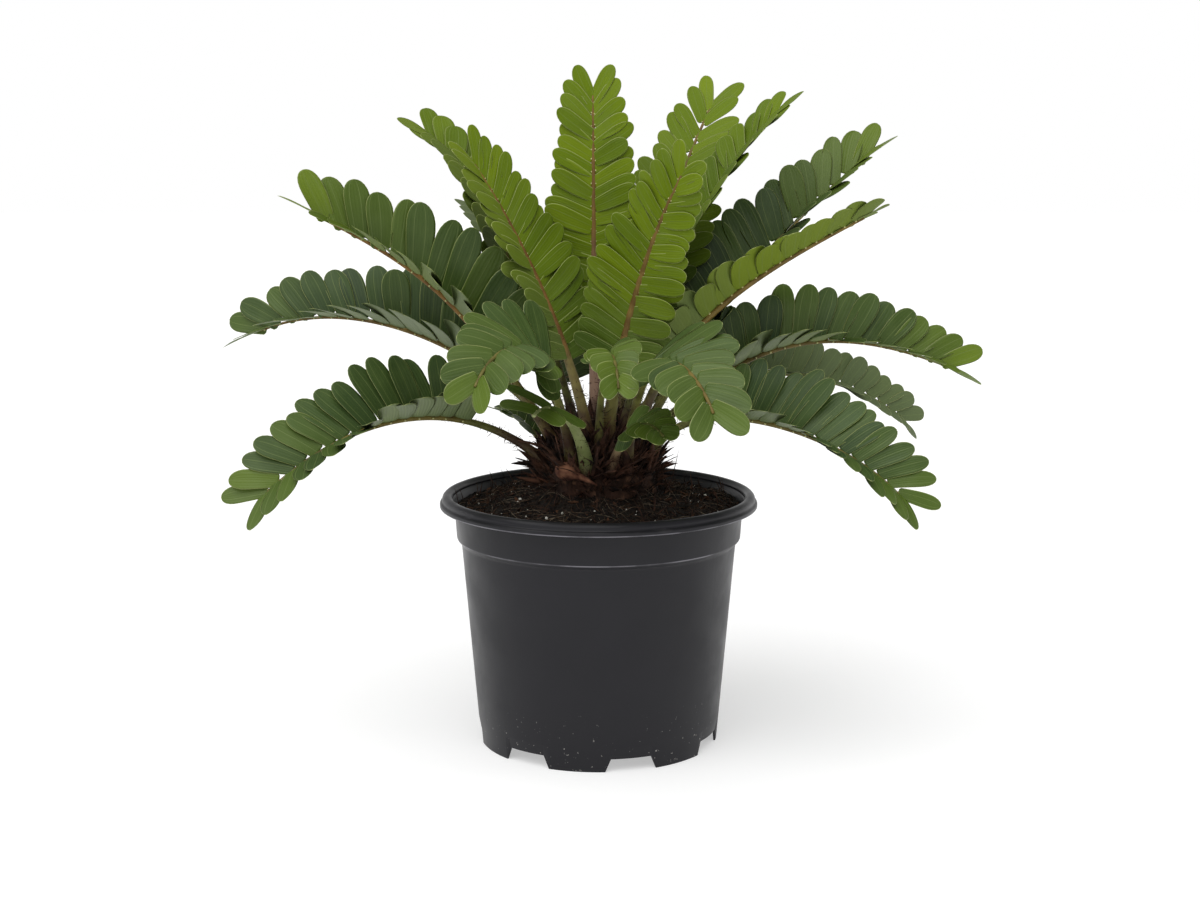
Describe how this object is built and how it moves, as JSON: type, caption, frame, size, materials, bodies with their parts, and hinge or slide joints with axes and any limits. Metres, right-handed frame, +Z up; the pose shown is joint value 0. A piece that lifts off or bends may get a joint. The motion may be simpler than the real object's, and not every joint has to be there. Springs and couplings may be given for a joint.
{
  "type": "potted cardboard palm",
  "caption": "Cycad with a rosette of arching pinnate fronds on a squat stem, growing in a dark tapered nursery pot filled with soil.",
  "frame": {"origin": "on the ground plane below the pot's centre, which is within a few millimetres of the centre of the whole plant's footprint", "axes": "+Z up along the pot's axis, -Y towards the viewer of the picture, +X to the right in it"},
  "size_m": [0.5753, 0.439, 0.5025],
  "materials": {
    "pot_plastic": "satin",
    "potting_soil": "matte",
    "stem_bark": "matte",
    "leaf": "satin"
  },
  "bodies": {
    "root": {"pot": "pot_plastic", "soil": "potting_soil", "stem": "stem_bark", "frond_inner_1": "leaf", "frond_inner_2": "leaf", "frond_inner_3": "leaf", "frond_inner_4": "leaf", "frond_inner_5": "leaf", "frond_inner_6": "leaf", "frond_middle_1": "leaf", "frond_middle_2": "leaf", "frond_middle_3": "leaf", "frond_middle_4": "leaf", "frond_middle_5": "leaf", "frond_middle_6": "leaf", "frond_middle_7": "leaf", "frond_middle_8": "leaf", "frond_middle_9": "leaf", "frond_middle_10": "leaf", "frond_outer_1": "leaf", "frond_outer_2": "leaf", "frond_outer_3": "leaf", "frond_outer_4": "leaf", "frond_outer_5": "leaf", "frond_outer_6": "leaf", "frond_outer_7": "leaf", "frond_outer_8": "leaf", "frond_outer_9": "leaf"}
  },
  "joints": []
}
